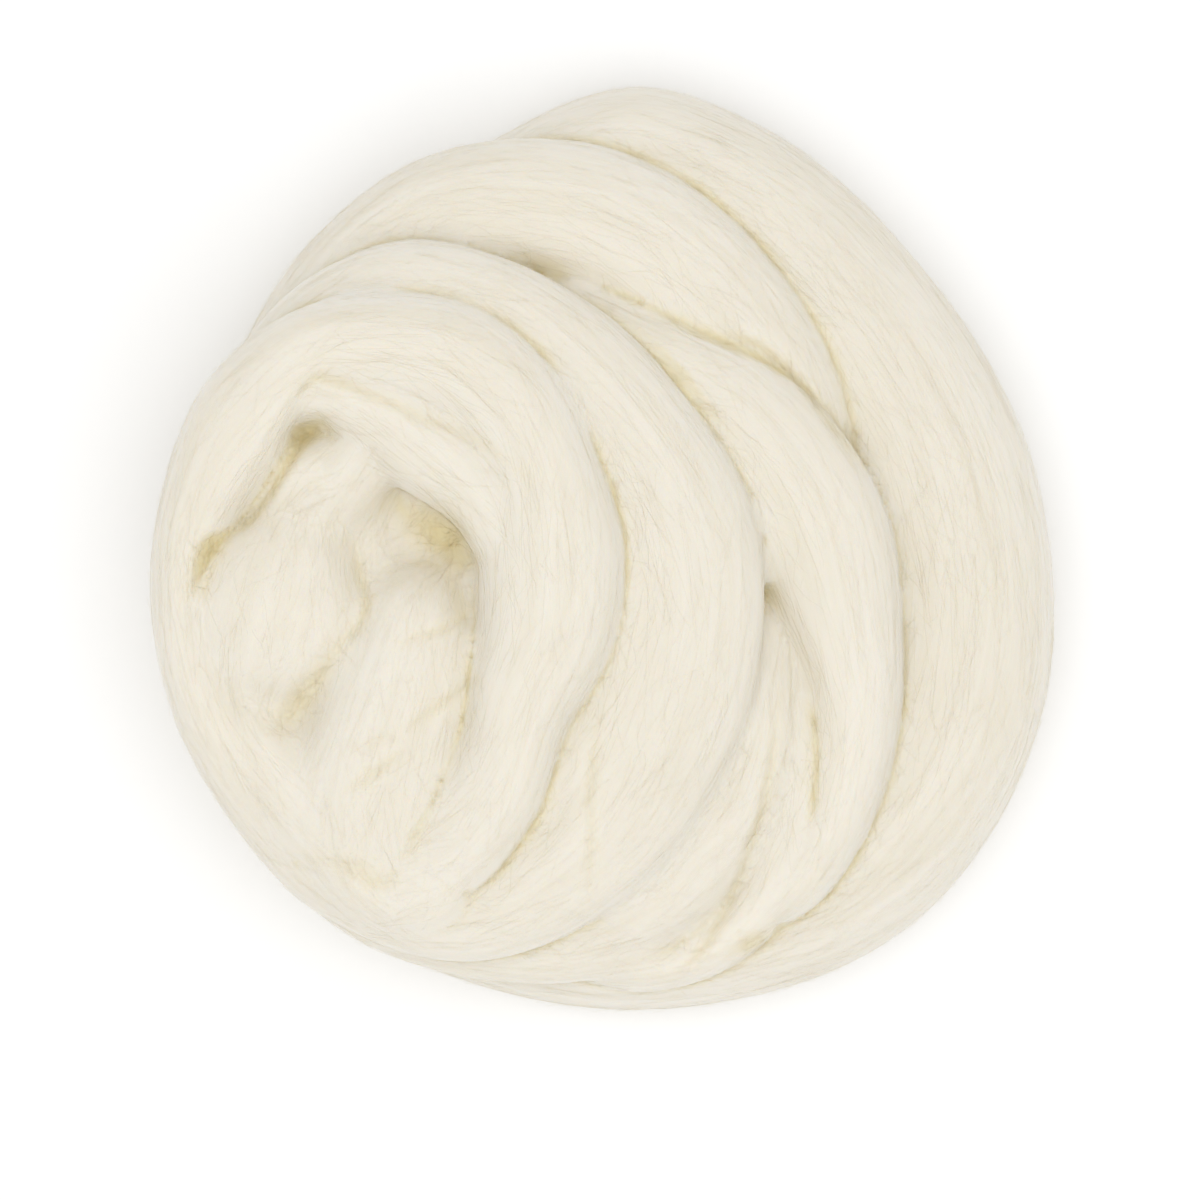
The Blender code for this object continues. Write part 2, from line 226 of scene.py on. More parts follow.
def softNoise(points, seed):
    # smooth noise from -1 to 1 with a wavelength of about 1
    base = np.floor(points).astype(np.int64)
    part = points - base
    part = part * part * part * (part * (part * 6 - 15) + 10)
    total = np.zeros(points.shape[:-1])
    for corner in range(8):
        step = np.array([corner & 1, corner >> 1 & 1, corner >> 2 & 1])
        cell = base + step
        mixed = cell[..., 0] * 73856093 ^ cell[..., 1] * 19349663 ^ cell[..., 2] * 83492791
        mixed = (mixed ^ seed * 7919) & 0x7FFFFFFF
        for turn in range(3):
            mixed = ((mixed ^ (mixed >> 15)) * 73244475) & 0x7FFFFFFF
        weight = np.prod(np.where(step, part, 1 - part), axis=-1)
        total += weight * ((mixed >> 8 & 0xFFFF) / 32767.5 - 1)
    return total


def furrowDepth(points):
    # how far the furrows press the wool down at each point
    plan = points[:, :2] - np.array(coilPole)
    depth = np.zeros(len(points))
    for rows in furrows.values():
        rows = np.array(rows, float)
        places = np.arange(len(rows), dtype=float)
        path = blend(places, rows, np.linspace(0, places[-1], furrowSteps * len(rows)))
        near = np.full(len(points), np.inf)
        press = np.zeros(len(points))
        for x, y, width, deep in path:
            away = np.hypot(plan[:, 0] - x, plan[:, 1] - y)
            closer = away < near
            near = np.where(closer, away, near)
            press = np.where(closer, deep * np.exp(-((away / width) ** 2)), press)
        depth = np.maximum(depth, press)
    return depth


# how the combed wool is uneven: how high, how long along the strand and how wide across it (mm)
unevenness = {
    "swell": (0.8, 60, 24),  # lumps pressed in by hand
    "lock": (0.16, 110, 7),  # locks of fibre lying side by side
    "streak": (0.03, 60, 2.4),  # combed ridges
}


def woolSkin(centres, across, width, depth, settings):
    # rings round the strand's line: squarish ovals, uneven along the fibres
    up = np.array((0.0, 0.0, 1.0))
    angle = np.arange(settings["sides"]) * math.tau / settings["sides"]
    cosine, sine = np.cos(angle), np.sin(angle)
    power = 2 / settings["squareness"]
    x = np.sign(cosine) * np.abs(cosine) ** power
    y = np.sign(sine) * np.abs(sine) ** power
    rings = (
        centres[:, None, :]
        + across[:, None, :] * (width[:, None, None] / 2 * x[None, :, None])
        + up * (depth[:, None, None] / 2 * y[None, :, None])
    )
    roundStep = np.roll(rings, -1, axis=1) - np.roll(rings, 1, axis=1)
    normals = unit(np.cross(np.gradient(rings, axis=0), roundStep))

    run = runAlong(centres)
    turned = settings["drift"] * np.sin(run / settings["driftLength"]) + settings["twist"] * run
    theta = angle[None, :] + turned[:, None]
    radius = (width + depth)[:, None] / 4
    lane = np.stack(
        (np.broadcast_to(run[:, None], theta.shape), np.cos(theta) * radius, np.sin(theta) * radius),
        axis=-1,
    )
    bump = np.zeros(theta.shape)
    for order, (height, length, reach) in enumerate(unevenness.values()):
        bump += height * softNoise(lane / np.array((length, reach, reach)), settings["seed"] + order)
    fade = np.clip(np.minimum(run, run[-1] - run) / settings["evenEnd"], 0, 1)[:, None]
    rings = rings + normals * (bump * settings["uneven"] * fade)[..., None]
    return rings, lane


def closedMesh(name, rings, lane, floorLevel, wool):
    # a closed piece through the rings, which carries its fibres' direction and its place in the strand
    count, sides = rings.shape[:2]
    points = rings.reshape(-1, 3).copy()
    tips = np.array([rings[0].mean(axis=0), rings[-1].mean(axis=0)])
    points = np.concatenate((points, tips))
    points[:, 2] = np.maximum(points[:, 2], floorLevel)

    ring, side = np.meshgrid(np.arange(count - 1), np.arange(sides), indexing="ij")
    low = (ring * sides + side).ravel()
    after = (ring * sides + (side + 1) % sides).ravel()
    quads = np.stack((after, low, low + sides, after + sides), axis=1)
    this, that = np.arange(sides), (np.arange(sides) + 1) % sides
    start, last = count * sides, (count - 1) * sides
    startCap = np.stack((np.full(sides, start), this, that), axis=1)
    endCap = np.stack((np.full(sides, start + 1), last + that, last + this), axis=1)
    mesh = bpy.data.meshes.new(name)
    mesh.from_pydata((points * mm).tolist(), [], quads.tolist() + startCap.tolist() + endCap.tolist())
    mesh.update()

    flow = np.gradient(rings, axis=0).reshape(-1, 3)
    lanes = np.concatenate((lane.reshape(-1, 3), lane[:1].mean(axis=1), lane[-1:].mean(axis=1)))
    storeValues(mesh, "flow", unit(np.concatenate((flow, flow[:1], flow[-1:]))))
    storeValues(mesh, "lane", lanes * mm)
    mesh.shade_smooth()
    mesh.materials.append(wool)
    return linked(name, mesh)


def evenPlaces(knots, middle, count):
    # places along a strand that lie evenly apart on its middle line
    fine = np.linspace(knots[0], knots[-1], lineSteps)
    run = runAlong(middle(fine))
    return np.interp(np.linspace(0, run[-1], count), run, fine)


def windingRows(turnTable):
    # the bearings of a winding, counted on from turn to turn, and what it measures at each
    rows = [(row[0] + fullTurn * order, *row[1:]) for order, turn in enumerate(turnTable) for row in turn]
    rows = np.array(rows, float)
    return rows[:, 0], rows[:, 1:]


def windingPiece(name, pole, turnTable, settings, wool):
    bearings, rows = windingRows(turnTable)

    def middle(at):
        edge, width, crest, depth = blend(bearings, rows, at).T
        angle, reach = np.radians(at), edge - width / 2
        return np.stack(
            (pole[0] + reach * np.cos(angle), pole[1] + reach * np.sin(angle), crest - depth / 2), axis=1
        )

    at = evenPlaces(bearings, middle, settings["rings"])
    angle = np.radians(at)
    across = np.stack((np.cos(angle), np.sin(angle), np.zeros_like(angle)), axis=1)
    width, depth = blend(bearings, rows, at)[:, [1, 3]].T
    centres = middle(at)
    run = runAlong(centres)
    tip = np.clip(np.minimum(run, run[-1] - run) / settings["taper"] + 0.02, 0, 1)
    scale = np.sqrt(1 - (1 - tip) ** 2)
    rings, lane = woolSkin(centres, across, width * scale, depth * scale, settings)
    return closedMesh(name, rings, lane, settings["floorLevel"], wool)


def foldPiece(name, table, settings, wool):
    rows = np.array(table, float)
    places = np.arange(len(rows), dtype=float)

    def middle(at):
        x, y, width, crest, depth = blend(places, rows, at).T
        return np.stack((coilPole[0] + x, coilPole[1] + y, crest - depth / 2), axis=1)

    at = evenPlaces(places, middle, settings["rings"])
    width, depth = blend(places, rows, at)[:, [2, 4]].T
    tip = np.minimum(1, np.minimum(at, places[-1] - at) + settings["tip"])
    scale = np.sqrt(1 - (1 - tip) ** 2)
    centres = middle(at)
    along = np.gradient(centres[:, :2], axis=0)
    along /= np.linalg.norm(along, axis=1, keepdims=True)
    across = np.stack((along[:, 1], -along[:, 0], np.zeros(len(at))), axis=1)
    rings, lane = woolSkin(centres, across, width * scale, depth * scale, settings)
    return closedMesh(name, rings, lane, settings["floorLevel"], wool)


def joinedCopy(pieces):
    # one object of copies of several pieces, with their attributes
    copies = [linked(piece.name, piece.data.copy()) for piece in pieces]
    with bpy.context.temp_override(
        active_object=copies[0], selected_objects=copies, selected_editable_objects=copies
    ):
        bpy.ops.object.join()
    return copies[0]


knot = {
    "grow": 2.4,  # mm, how far the strands swell before they are made one, to fill the cracks between
    "voxel": 1.2,  # mm
    "smooth": 18,  # rounds of smoothing
}
skin = {
    "grow": 0.4,
    "voxel": 1.06,
    "smooth": 3,
    "softSmooth": 26,  # further rounds at the soft places
    "flat": 0.35,  # mm, what lies lower than this is pressed flat on the floor
    "coarser": 0.5,  # share of the faces kept where the skin is smooth
}
seam = {
    # strands that are one with the turn beside them
    "none": ("insideFirstTurn", "troughLining", "coreWool"),
    "reach": 3.2,  # mm, how far off a second strand is looked for
    "finer": 1.7,  # mm, how near a seam the skin is made finer
    "width": 0.75,  # mm, of the crease pressed in along the seam
    "depth": 1.25,  # mm
    "tint": 1.15,  # mm, how wide the painted crease shade is
    "fuzz": 2.6,  # mm, how wide the band of loose fibres over it is
    "valley": 0.02,  # mm, how far a point lies under the mean of those around it in a full seam
    "even": 24,  # rounds of smoothing along the seams before they are pressed in
    "evenShare": 0.6,  # how strong each of them is
    "firm": (0.15, 0.78, 1.15),  # least, usual and greatest share of the depth along a seam
    "held": ((17, 0.5), (5, 0.2)),  # mm along a seam, and how much its depth changes over that
    "seed": 5,
    "lowest": 3,  # mm, height under which a seam stays coarse
    "softFade": 1.3,  # a soft place takes a seam away faster than it softens
}
furrow = {
    "least": 0.08,  # mm, how deep a furrow is where the skin is made finer
    "lowest": 20,  # mm, height over which that is done
    "rise": (8, 10),  # mm, height where furrows start to count, and how much higher they count in full
    "tint": 2.2,  # mm, how deep a furrow is where its painted shade is full
}
rounds = {"gap": 5, "mean": 12, "valley": 6, "outward": 6, "pressed": 3}  # of smoothing, for each value

softRise = (12, 10)  # mm, as for the furrows
softMiddle = 1.3  # the softness runs on past 1, so that it is full for some way round the middle
softest = 0.6  # softness over which the skin isn't made finer
# where the wool is matted together and no crease is left: x and y from the coil's pole, reach (mm)
softPlaces = [
    (-24, -33, 15), (-12, -44, 17), (2, -56, 15), (12, -66, 16), (2, -70, 14), (-20, -12, 8),
    (6, -22, 9), (8, -40, 10), (-4, 14, 8), (6, 31, 8), (35, 9, 11), (36, 20, 8), (-6, 45, 6),
    (50, 42, 9), (14, 17, 6), (-28, -5, 7), (-28, -14, 7), (-26, -23, 8), (74, -62, 10),
    (60, -78, 10), (6, 67, 9), (99, -17, 7), (94, 8, 6), (92, 18, 5), (53, 70, 5), (62, -66, 8),
    (-24, 52, 10), (100, -54, 9),
]


def heldMesh(body):
    # the mesh of an object as its modifiers leave it
    bpy.context.view_layer.update()
    return bpy.data.meshes.new_from_object(body.evaluated_get(bpy.context.evaluated_depsgraph_get()))


def pointsOf(mesh):
    where = np.zeros(len(mesh.vertices) * 3)
    mesh.vertices.foreach_get("co", where)
    return where.reshape(-1, 3)


def putThrough(body, *steps):
    # puts the object's mesh through these modifiers
    for kind, values in steps:
        modifier = body.modifiers.new(kind.lower(), kind)
        for key, value in values.items():
            setattr(modifier, key, value)
    mesh = heldMesh(body)
    body.modifiers.clear()
    body.data = mesh


def asOne(name, strands, settings):
    # closed strands made one soft skin: swollen a little, made one, smoothed and drawn in again
    body = joinedCopy(strands)
    putThrough(body, ("DISPLACE", {"strength": settings["grow"] * mm, "mid_level": 0}))
    putThrough(body, ("REMESH", {"mode": "VOXEL", "voxel_size": settings["voxel"] * mm}))
    smoothing = [("SMOOTH", {"factor": 0.5, "iterations": settings["smooth"]})]
    if "softSmooth" in settings:
        group = body.vertex_groups.new(name="soft")
        for index, weight in enumerate(softWeight(pointsOf(body.data) / mm)):
            if weight > 0.01:
                group.add([index], weight, "REPLACE")
        further = {"factor": 0.5, "iterations": settings["softSmooth"], "vertex_group": "soft"}
        smoothing.append(("SMOOTH", further))
    putThrough(body, *smoothing, ("DISPLACE", {"strength": -settings["grow"] * mm, "mid_level": 0}))
    keepLargest(body.data)
    body.name = name
    body.data.name = name
    return body


def keepLargest(mesh):
    # drops the small shells that stay round pockets sealed inside
    work = bmesh.new()
    work.from_mesh(mesh)
    work.verts.ensure_lookup_table()
    seen, shells = set(), []
    for vert in work.verts:
        if vert in seen:
            continue
        shell, fresh = [vert], [vert]
        seen.add(vert)
        while fresh:
            for edge in fresh.pop().link_edges:
                for other in edge.verts:
                    if other not in seen:
                        seen.add(other)
                        shell.append(other)
                        fresh.append(other)
        shells.append(shell)
    shells.sort(key=len)
    lost = [vert for shell in shells[:-1] for vert in shell]
    bmesh.ops.delete(work, geom=lost, context="VERTS")
    work.to_mesh(mesh)
    work.free()


def risen(points, rise):
    # from 0 at the first height to 1 at so much higher
    return np.clip((points[:, 2] - rise[0]) / rise[1], 0, 1)


def softWeight(points):
    # how soft each point is, from 0 to 1 at the middle of a soft place
    plan = points[:, :2] - np.array(coilPole)
    weight = np.zeros(len(points))
    for x, y, reach in softPlaces:
        away = np.hypot(plan[:, 0] - x, plan[:, 1] - y)
        weight = np.maximum(weight, np.clip(softMiddle - away / reach, 0, 1))
    return weight * risen(points, softRise)


def directionTree():
    # gives each point the fibres' direction and the place in the strand of the strand nearest to it
    tree = bpy.data.node_groups.new("takeDirections", "GeometryNodeTree")
    add = partial(addNode, tree)
    tree.interface.new_socket("Geometry", in_out="INPUT", socket_type="NodeSocketGeometry")
    tree.interface.new_socket("strands", in_out="INPUT", socket_type="NodeSocketObject")
    tree.interface.new_socket("Geometry", in_out="OUTPUT", socket_type="NodeSocketGeometry")
    given = add("NodeGroupInput")
    strands = add("GeometryNodeObjectInfo", {}, {"Object": (given, "strands")})
    last = (given, "Geometry")
    for label in ("flow", "lane"):
        stored = add("GeometryNodeInputNamedAttribute", {"data_type": "FLOAT_VECTOR", "Name": label})
        sampled = add(
            "GeometryNodeSampleNearestSurface",
            {"data_type": "FLOAT_VECTOR"},
            {"Mesh": (strands, "Geometry"), "Value": stored},
        )
        last = add(
            "GeometryNodeStoreNamedAttribute",
            {"data_type": "FLOAT_VECTOR", "domain": "POINT", "Name": label},
            {"Geometry": last, "Value": sampled},
        )
    real = add("GeometryNodeRealizeInstances", {}, {"Geometry": last})
    add("NodeGroupOutput", {}, {"Geometry": real})
    return tree


def strandTrees(strands):
    # a tree of faces for each strand and for each half turn of the coil, numbered so that only
    # two that follow one another along the coil have numbers next to each other
    trees = []
    strands = [strand for strand in strands if strand.name not in seam["none"]]
    for order, strand in enumerate(strands):
        points = pointsOf(strand.data) / mm
        faces = [tuple(face.vertices) for face in strand.data.polygons]
        half = np.zeros(len(faces), int)
        if strand.name == "coil":
            sides = coil["sides"]
            middles = points[: coil["rings"] * sides].reshape(-1, sides, 3).mean(axis=1)[:, :2]
            bearing = np.unwrap(np.arctan2(*(middles - np.array(coilPole)).T[::-1]))
            section = ((bearing - bearing[0]) / math.pi).astype(int)
            ring = np.minimum([face[0] // sides for face in faces], coil["rings"] - 1)
            half = section[ring]
        for number in np.unique(half):
            some = [face for face, own in zip(faces, half) if own == number]
            used = points[np.unique(np.concatenate(some))]
            tree = BVHTree.FromPolygons(points.tolist(), some)
            trees.append((100 * order + number, tree, used.min(axis=0), used.max(axis=0)))
    return trees


def seamDistance(points, trees):
    # how much nearer each point lies to its own strand than to the next one, so 0 on a seam
    reach = seam["reach"]
    away = np.full((len(trees), len(points)), np.inf)
    for order, (number, tree, low, high) in enumerate(trees):
        close = np.flatnonzero(np.all((points > low - reach) & (points < high + reach), axis=1))
        for index, place in zip(close, points[close].tolist()):
            found = tree.find_nearest(place, reach)
            if found[0] is not None:
                away[order, index] = found[3]
    numbers = np.array([entry[0] for entry in trees])
    own = away.min(axis=0)
    apart = np.abs(numbers[:, None] - numbers[away.argmin(axis=0)][None, :]) > 1
    other = np.where(apart, away, np.inf).min(axis=0)
    gap = np.full(len(points), reach)
    both = np.isfinite(own) & np.isfinite(other)
    gap[both] = np.clip(other[both] - own[both], 0, reach)
    return gap


def finerAlong(mesh, near):
    # splits the edges whose two ends are marked, so that narrow creases have faces enough
    work = bmesh.new()
    work.from_mesh(mesh)
    work.verts.ensure_lookup_table()
    edges = [edge for edge in work.edges if near[edge.verts[0].index] and near[edge.verts[1].index]]
    bmesh.ops.subdivide_edges(work, edges=edges, cuts=1, use_grid_fill=True)
    work.to_mesh(mesh)
    work.free()


def relaxed(mesh, values, count, share=0.5):
    # values of the points, moved towards the mean of their neighbours' by a share, so many times
    ends = np.zeros(len(mesh.edges) * 2, int)
    mesh.edges.foreach_get("vertices", ends)
    other = ends.reshape(-1, 2)[:, ::-1].ravel()
    around = np.maximum(np.bincount(ends, minlength=len(values)), 1)
    values = values.reshape(len(values), -1).copy()
    share = np.broadcast_to(share, len(values))[:, None]
    for number in range(count):
        total = [np.bincount(ends, weights=column[other], minlength=len(values)) for column in values.T]
        values += share * (np.stack(total, axis=1) / around[:, None] - values)
    return values


def coarserAway(mesh, near, ratio):
    # fewer faces away from the seams, where the skin is smooth
    body = linked("coarser", mesh)
    group = body.vertex_groups.new(name="away")
    group.add(np.flatnonzero(~near).tolist(), 1.0, "REPLACE")
    putThrough(body, ("DECIMATE", {"vertex_group": "away", "ratio": ratio}))
    coarse = body.data
    bpy.data.objects.remove(body)
    return coarse


def normalsOf(mesh):
    normals = np.zeros(len(mesh.vertices) * 3)
    mesh.vertices.foreach_get("normal", normals)
    return normals.reshape(-1, 3)


def nearCrease(points, trees):
    # where a seam or a furrow is close, so that the skin has to be finer
    height = points[:, 2]
    near = (seamDistance(points, trees) < seam["finer"]) & (softWeight(points) < softest)
    pressed = (furrowDepth(points) > furrow["least"]) & (height > furrow["lowest"])
    return near & (height > seam["lowest"]) | pressed


def pressCreases(mesh, trees):
    # presses in the seams between the strands and the furrows, and marks how deep in one a point lies, for
    # the painted crease shade and the loose fibres
    mesh = coarserAway(mesh, nearCrease(pointsOf(mesh) / mm, trees), skin["coarser"])
    finerAlong(mesh, nearCrease(pointsOf(mesh) / mm, trees))

    where = pointsOf(mesh) / mm
    gap = relaxed(mesh, seamDistance(where, trees), rounds["gap"])[:, 0]
    close = np.exp(-((gap / seam["fuzz"]) ** 2))
    where = relaxed(mesh, where, seam["even"], seam["evenShare"] * close)
    mesh.vertices.foreach_set("co", (where * mm).ravel())
    mesh.update()
    firm = np.clip(1 - seam["softFade"] * softWeight(where), 0, 1)
    # two strands that lie flush with each other make no seam, so only a valley counts as one
    valley = ((relaxed(mesh, where, rounds["mean"]) - where) * normalsOf(mesh)).sum(axis=1)
    valley = relaxed(mesh, valley, rounds["valley"])[:, 0]
    firm *= np.clip(valley / seam["valley"], 0, 1)
    # a seam isn't equally deep all along: here and there the fibres of both sides hold together
    least, share, most = seam["firm"]
    for order, (size, change) in enumerate(seam["held"]):
        share = share + change * softNoise(where / size, seam["seed"] + order)
    firm *= np.clip(share, least, most)
    sunk = furrowDepth(where) * risen(where, furrow["rise"])
    pressed = seam["depth"] * firm * np.exp(-((gap / seam["width"]) ** 2))
    # painted shade mask: how much of the crease colour a point takes, along the seams and in deep furrows
    crease = firm * np.exp(-((gap / seam["tint"]) ** 2))
    crease = np.maximum(crease, np.clip(sunk / furrow["tint"], 0, 1))
    edge = np.maximum(firm * close, np.clip(sunk, 0, 1))
    outward = unit(relaxed(mesh, normalsOf(mesh), rounds["outward"]))
    where -= outward * pressed[:, None]
    where[:, 2] -= sunk
    where = relaxed(mesh, where, rounds["pressed"], np.clip(close + edge, 0, 1) / 2)
    where[:, 2] = np.where(where[:, 2] < skin["flat"], 0, where[:, 2])
    mesh.vertices.foreach_set("co", (where * mm).ravel())
    storeValues(mesh, "crease", crease)
    storeValues(mesh, "edge", edge)
    mesh.update()
    return mesh


def wholeSkin(strands, folds, wool):
    # the whole bundle as one closed skin
    melted = asOne("knot", folds, knot)
    trees = strandTrees(strands + [melted])
    guide = joinedCopy(strands + folds)
    body = asOne("wool", strands + [melted], skin)
    print("strands made one:", len(body.data.polygons), "faces")
    body.data = pressCreases(body.data, trees)
    modifier = body.modifiers.new("directions", "NODES")
    modifier.node_group = directionTree()
    for item in modifier.node_group.interface.items_tree:
        if item.in_out == "INPUT" and item.name == "strands":
            modifier[item.identifier] = guide
    mesh = heldMesh(body)
    body.modifiers.clear()
    body.vertex_groups.clear()
    body.data = mesh
    mesh.materials.clear()
    mesh.materials.append(wool)
    mesh.polygons.foreach_set("material_index", [0] * len(mesh.polygons))
    mesh.shade_smooth()
    for old in [guide, melted, *strands, *folds]:
        bpy.data.objects.remove(old)
    return body


core = {
    "sides": 96,  # bearings round the core
    "top": 46,  # height of its middle, mm
    "base": 3,
    "floorLevel": 0.6,
}


def corePiece(wool):
    # the wool under the turns, which shows only between them
    bearings, rows = windingRows(turns)
    rings = []
    for bearing in turns[0][1][0] + fullTurn * np.arange(core["sides"]) / core["sides"]:
        at = np.minimum(bearing + fullTurn * np.arange(len(turns)), bearings[-1])
        edge, width, crest, depth = blend(bearings, rows, at).T
        reach, height = edge - width / 2, crest - depth / 2
        reach = np.append(reach, reach.max())
        height = np.append(height, core["base"])
        angle = math.radians(bearing)
        x, y = coilPole[0] + reach * math.cos(angle), coilPole[1] + reach * math.sin(angle)
        rings.append(np.stack((x, y, height), axis=1))
    rings = np.array(rings, float).transpose(1, 0, 2)[::-1]  # from the base up to the innermost turn
    rings = np.concatenate((rings, (rings[-1:] * 0.5 + np.array((*coilPole, core["top"])) * 0.5)))
    piece = closedMesh("coreWool", rings, rings, core["floorLevel"], wool)
    if sum(face.area * face.normal.dot(face.center) for face in piece.data.polygons) < 0:
        piece.data.flip_normals()
    return piece


shade = {
    "rays": 10,  # rays cast from each point
    "reach": 22,  # mm, how far off other wool counts
    "start": 0.8,  # mm above the surface
    "spread": 0.97,  # share of the half sphere that the rays fill
    "smooth": 4,  # rounds of smoothing
}


def markOpenness(mesh):
    # stores on each point how open it lies, from 0 between the strands to 1, which the material darkens as
    # painted shade
    where, normal = pointsOf(mesh), normalsOf(mesh)
    surface = BVHTree.FromPolygons(where.tolist(), [tuple(face.vertices) for face in mesh.polygons])
    number = np.arange(shade["rays"]) + 0.5
    height = np.sqrt(1 - number / shade["rays"] * shade["spread"])
    turn = number * math.pi * (3 - math.sqrt(5))
    flat = np.sqrt(1 - height**2)
    local = np.stack((flat * np.cos(turn), flat * np.sin(turn), height), axis=1)
    side = unit(np.cross(normal, np.where(np.abs(normal[:, 2:]) < 0.9, (0, 0, 1), (1, 0, 0))))
    other = np.cross(normal, side)
    origin = where + normal * shade["start"] * mm
    seen = np.zeros(len(where))
    for a, b, c in local:
        towards = side * a + other * b + normal * c
        seen += [
            surface.ray_cast(start, way, shade["reach"] * mm)[0] is None
            for start, way in zip(origin.tolist(), towards.tolist())
        ]
    storeValues(mesh, "openness", relaxed(mesh, seen / shade["rays"], shade["smooth"])[:, 0])


# Wool top: merino-like wool, washed, combed and drawn into a sliver without twist. The eye sees a
# soft matt cream, fine pale and warm streaks along the fibres, and light that glows a little inside.
# shade is also painted into the creases and hollows, as a darker, warmer colour
woolTop = {
    "light": "#E8E3D7",
    "warm": "#E3DDCE",
    "crease": "#E3D7AE",  # painted shade: the darker, warmer colour that the wool takes deep in the creases and hollows, where little light reaches
    "streakLength": 28,  # mm, a combed fibre bundle
    "streakWidth": 0.5,  # mm, drawn coarser than a fibre of 0.02 mm so that it shows
    "lockLength": 90,  # mm
    "lockWidth": 5,  # mm
    "patch": 30,  # mm, slow change of colour
    "streakShare": 0.45,  # how much the streaks and the patches count beside the locks
    "patchShare": 0.4,
    "toneRange": (0.72, 1.12),  # where their sum is all warm and where all light
    "shadeOpenness": 0.5,  # openness under which the wool takes the painted crease shade
    "creaseShadeShare": 0.9,  # and how much of that painted shade shows in a full crease
    "ridge": 0.05,  # mm, height of the streaks
    "roughness": 0.88,
    "sheen": 0.25,
    "glow": 0.5,
    "glowDepth": 3.5,  # mm
    "glowSpread": (1.0, 0.8, 0.55),  # red light wanders furthest
    "through": 0,  # share of the light that passes right through
}

# Single wool fibres lying on the top: washed and combed, too thin for light to wander about inside,
# so they are plainly matt. Half of the light passes through them, and only so light a colour looks
# no darker than the wool under them.
singleFibre = dict(
    woolTop, light="#FCF8EC", warm="#F8F2E2", ridge=0.0, glow=0.0, sheen=0.3, roughness=0.8, through=0.5
)


def woolMaterial(name, settings):
    material = bpy.data.materials.new(name)
    material.use_nodes = True
    tree = material.node_tree
    tree.nodes.clear()
    add = partial(addNode, tree)
    lane, openness, crease = [
        add("ShaderNodeAttribute", {"attribute_name": label})
        for label in ("lane", "openness", "crease")
    ]
    place = add("ShaderNodeTexCoord")

    def stretched(length, width, detail, seedShift):
        # noise drawn out along the fibres
        scaled = add(
            "ShaderNodeMapping",
            {
                "Scale": (1 / (length * mm), 1 / (width * mm), 1 / (width * mm)),
                "Location": (seedShift, seedShift * 2.7, seedShift * 1.3),
            },
            {"Vector": (lane, "Vector")},
        )
        return add(
            "ShaderNodeTexNoise", {"Scale": 1.0, "Detail": detail, "Roughness": 0.6}, {"Vector": scaled}
        )

    streak = stretched(settings["streakLength"], settings["streakWidth"], 3.0, 3.1)
    lock = stretched(settings["lockLength"], settings["lockWidth"], 2.0, 17.7)
    patch = add(
        "ShaderNodeTexNoise",
        {"Scale": 1 / (settings["patch"] * mm), "Detail": 2.0},
        {"Vector": (place, "Object")},
    )
    tone = lock
    for noise, share in ((streak, settings["streakShare"]), (patch, settings["patchShare"])):
        tone = add("ShaderNodeMath", {"operation": "MULTIPLY_ADD", 1: share}, {0: noise, 2: tone})
    warmest, lightest = settings["toneRange"]
    toneRange = add("ShaderNodeMapRange", {"From Min": warmest, "From Max": lightest}, {"Value": tone})
    body = add(
        "ShaderNodeMix",
        {"data_type": "RGBA", "A": linearColour(settings["warm"]), "B": linearColour(settings["light"])},
        {"Factor": toneRange},
    )
    # painted shade: the wool takes the darker crease colour where it lies shut in between the strands and
    # along the seams and furrows
    shadeOpenness = add(
        "ShaderNodeMapRange", {"From Min": 0.0, "From Max": settings["shadeOpenness"]}, {"Value": (openness, "Fac")}
    )
    uncreased = add(
        "ShaderNodeMath",
        {"operation": "MULTIPLY_ADD", 1: -settings["creaseShadeShare"], 2: 1.0},
        {0: (crease, "Fac")},
    )
    clear = add("ShaderNodeMath", {"operation": "MULTIPLY"}, {0: shadeOpenness, 1: uncreased})
    colour = add(
        "ShaderNodeMix",
        {"data_type": "RGBA", "A": linearColour(settings["crease"])},
        {"Factor": clear, "B": body},
    )
    fineRidge = add(
        "ShaderNodeBump", {"Strength": 0.2, "Distance": settings["ridge"] * mm}, {"Height": streak}
    )
    surface = add(
        "ShaderNodeBsdfPrincipled",
        {
            "Roughness": settings["roughness"],
            "Sheen Weight": settings["sheen"],
            "Sheen Roughness": 0.5,
            "Specular IOR Level": 0.25,
            "Subsurface Weight": settings["glow"],
            "Subsurface Radius": settings["glowSpread"],
            "Subsurface Scale": settings["glowDepth"] * mm,
        },
        {"Base Color": colour, "Normal": fineRidge},
    )
    behind = add("ShaderNodeBsdfTranslucent", {}, {"Color": colour})
    whole = add("ShaderNodeMixShader", {"Fac": settings["through"]}, {1: surface, 2: behind})
    add("ShaderNodeOutputMaterial", {}, {"Surface": whole})
    return material


